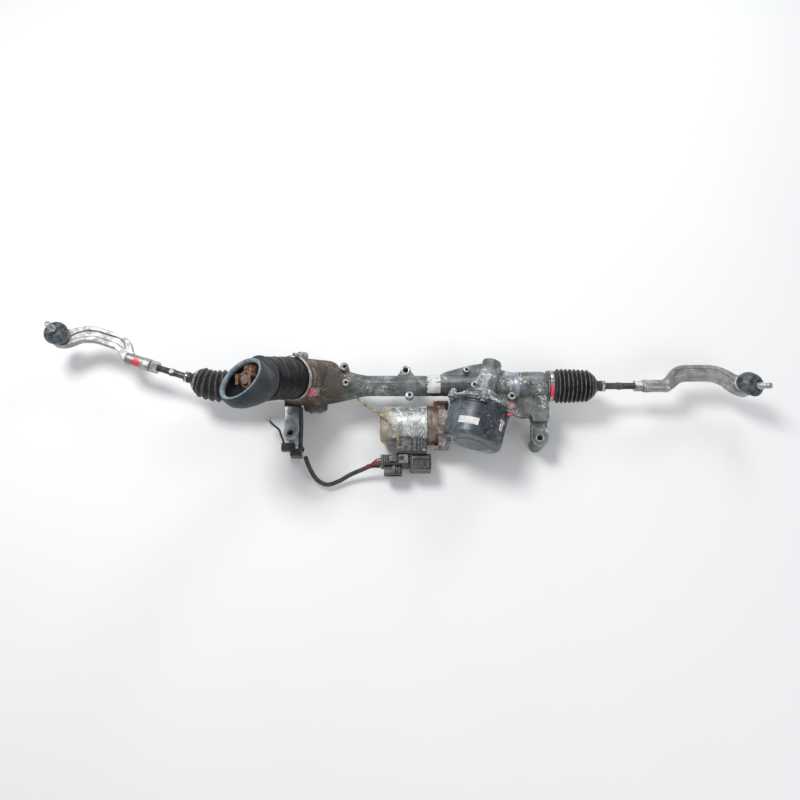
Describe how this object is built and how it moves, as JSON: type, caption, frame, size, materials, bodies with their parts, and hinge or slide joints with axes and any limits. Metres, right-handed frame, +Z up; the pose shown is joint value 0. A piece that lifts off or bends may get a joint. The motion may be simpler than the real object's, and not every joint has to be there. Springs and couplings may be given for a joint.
{
  "type": "rack and pinion",
  "caption": "Electric power steering rack and pinion with an input pinion tower, an assist pinion with worm drive and motor, bellows and both tie rods.",
  "frame": {"origin": "centre of the object's box at the height of the three mounting lugs' lower faces", "axes": "+X along the rack towards the assist side, +Z up along the mounting bolts, +Y away from the motor"},
  "size_m": [1.3677, 0.307, 0.2691],
  "materials": {
    "cast_aluminium": "sand-cast, weathered, white corrosion",
    "dirty_casting": "sand-cast, stained brown",
    "bracket_steel": "zinc-plated, dull",
    "machined_steel": "machined, lightly oiled",
    "dark_steel": "phosphated",
    "forged_steel": "forged, bright",
    "rusty_forging": "rusted",
    "bearing_steel": "polished",
    "clamp_steel": "bright strip",
    "motor_shell": "dull silver, stained",
    "black_can": "glossy black enamel",
    "black_plastic": "glass-filled nylon",
    "black_rubber": "semi-matt rubber",
    "slate_rubber": "matt, dusty",
    "nylon": "natural nylon",
    "windings": "enamelled copper and laminations",
    "cream_sleeve": "stained sleeve"
  },
  "bodies": {
    "housing": {"rack_housing": "cast_aluminium", "left_mount_bracket": "bracket_steel", "input_yoke": "nylon", "input_yoke_spring": "dark_steel", "input_yoke_plug": "machined_steel", "assist_yoke": "nylon", "assist_yoke_spring": "dark_steel", "assist_yoke_plug": "machined_steel", "rack_bush_left": "nylon", "rack_bush_right": "nylon", "pinion_bearing_lower": "bearing_steel", "pinion_bearing_upper": "bearing_steel", "pinion_cap": "machined_steel", "sensor_housing": "dirty_casting", "torque_sensor": "windings", "tower_cover": "black_rubber", "cover_band": "clamp_steel", "dash_seal": "slate_rubber", "assist_bearing_inner": "bearing_steel", "assist_bearing_outer": "bearing_steel", "gear_housing": "cast_aluminium", "gear_cover": "black_can", "cover_bolt": "machined_steel", "motor_can": "motor_shell", "motor_flange": "dirty_casting", "motor_stator": "windings", "control_unit": "black_plastic", "harness_connector": "black_plastic", "harness_conduit": "black_rubber", "harness_clip": "black_plastic", "sensor_conduit": "black_rubber", "sensor_lead": "cream_sleeve", "branch_lead": "black_rubber", "boot_left": "black_rubber", "boot_right": "black_rubber", "boot_clamp_left": "clamp_steel", "boot_clamp_right": "clamp_steel"},
    "rack": {"rack_bar": "machined_steel", "inner_socket_left": "dark_steel", "inner_socket_right": "dark_steel"},
    "input_shaft": {"input_pinion": "machined_steel", "input_coupling": "rusty_forging"},
    "assist_shaft": {"assist_pinion": "machined_steel", "worm_wheel": "nylon"},
    "motor_shaft": {"worm_shaft": "machined_steel", "motor_rotor": "dark_steel"},
    "inner_joint_left": {"inner_seat_left": "nylon"},
    "inner_joint_right": {"inner_seat_right": "nylon"},
    "link_left": {"tie_rod_left": "dark_steel", "jam_nut_left": "forged_steel", "outer_end_left": "forged_steel", "stud_boot_left": "black_rubber"},
    "link_right": {"tie_rod_right": "dark_steel", "jam_nut_right": "forged_steel", "outer_end_right": "forged_steel", "stud_boot_right": "black_rubber"},
    "outer_joint_left": {"outer_seat_left": "nylon"},
    "outer_joint_right": {"outer_seat_right": "nylon"},
    "stud_left": {"ball_stud_left": "machined_steel"},
    "stud_right": {"ball_stud_right": "machined_steel"}
  },
  "joints": [
    {"name": "rack_travel", "type": "slide", "parent": "housing", "child": "rack", "axis": [1, 0, 0], "range_m": [-0.053, 0.06], "deforming": ["boot_left", "boot_right"]},
    {"name": "input_turn", "type": "hinge", "parent": "housing", "child": "input_shaft", "pos_m": [-0.1594, 0.03597, 0.07653], "axis": [-0.4955, -0.3394, 0.7996], "range_deg": [-316, 357]},
    {"name": "assist_turn", "type": "hinge", "parent": "housing", "child": "assist_shaft", "pos_m": [0.1636, 0.0206, 0.0867], "axis": [-0.2756, -0.9613, 0], "range_deg": [-349, 395]},
    {"name": "motor_spin", "type": "hinge", "parent": "housing", "child": "motor_shaft", "pos_m": [0.14375, -0.04861, 0.04086], "axis": [1, 0, 0], "continuous": true},
    {"name": "inner_swing_left", "type": "hinge", "parent": "rack", "child": "inner_joint_left", "pos_m": [-0.3494, 0.0206, 0.07], "axis": [0, 0, 1], "range_deg": [-4, 26]},
    {"name": "inner_lift_left", "type": "hinge", "parent": "inner_joint_left", "child": "link_left", "pos_m": [-0.3494, 0.0206, 0.07], "axis": [0.309, 0.9511, 0], "range_deg": [-13, 13]},
    {"name": "inner_swing_right", "type": "hinge", "parent": "rack", "child": "inner_joint_right", "pos_m": [0.3266, 0.0206, 0.07], "axis": [0, 0, 1], "range_deg": [-18, 18]},
    {"name": "inner_lift_right", "type": "hinge", "parent": "inner_joint_right", "child": "link_right", "pos_m": [0.3266, 0.0206, 0.07], "axis": [0, -1, 0], "range_deg": [-13, 13]},
    {"name": "outer_tilt_left", "type": "hinge", "parent": "link_left", "child": "outer_joint_left", "pos_m": [-0.66135, 0.12196, 0.07], "axis": [-0.9511, 0.309, 0], "range_deg": [-20, 20], "deforming": ["stud_boot_left"]},
    {"name": "outer_turn_left", "type": "hinge", "parent": "outer_joint_left", "child": "stud_left", "pos_m": [-0.66135, 0.12196, 0.07], "axis": [0, 0.0499, 0.9988], "range_deg": [-45, 45]},
    {"name": "outer_tilt_right", "type": "hinge", "parent": "link_right", "child": "outer_joint_right", "pos_m": [0.6546, 0.0206, 0.07], "axis": [0.6247, 0.7809, 0], "range_deg": [-55, 2], "deforming": ["stud_boot_right"]},
    {"name": "outer_turn_right", "type": "hinge", "parent": "outer_joint_right", "child": "stud_right", "pos_m": [0.6546, 0.0206, 0.07], "axis": [0.3996, -0.3197, 0.8591], "range_deg": [-45, 45]}
  ],
  "couplings": [
    {"joint": "input_turn", "follows": "rack_travel", "rad_per_m": 103.41},
    {"joint": "assist_turn", "follows": "rack_travel", "rad_per_m": 114.44},
    {"joint": "motor_spin", "follows": "rack_travel", "rad_per_m": 2345.9}
  ]
}
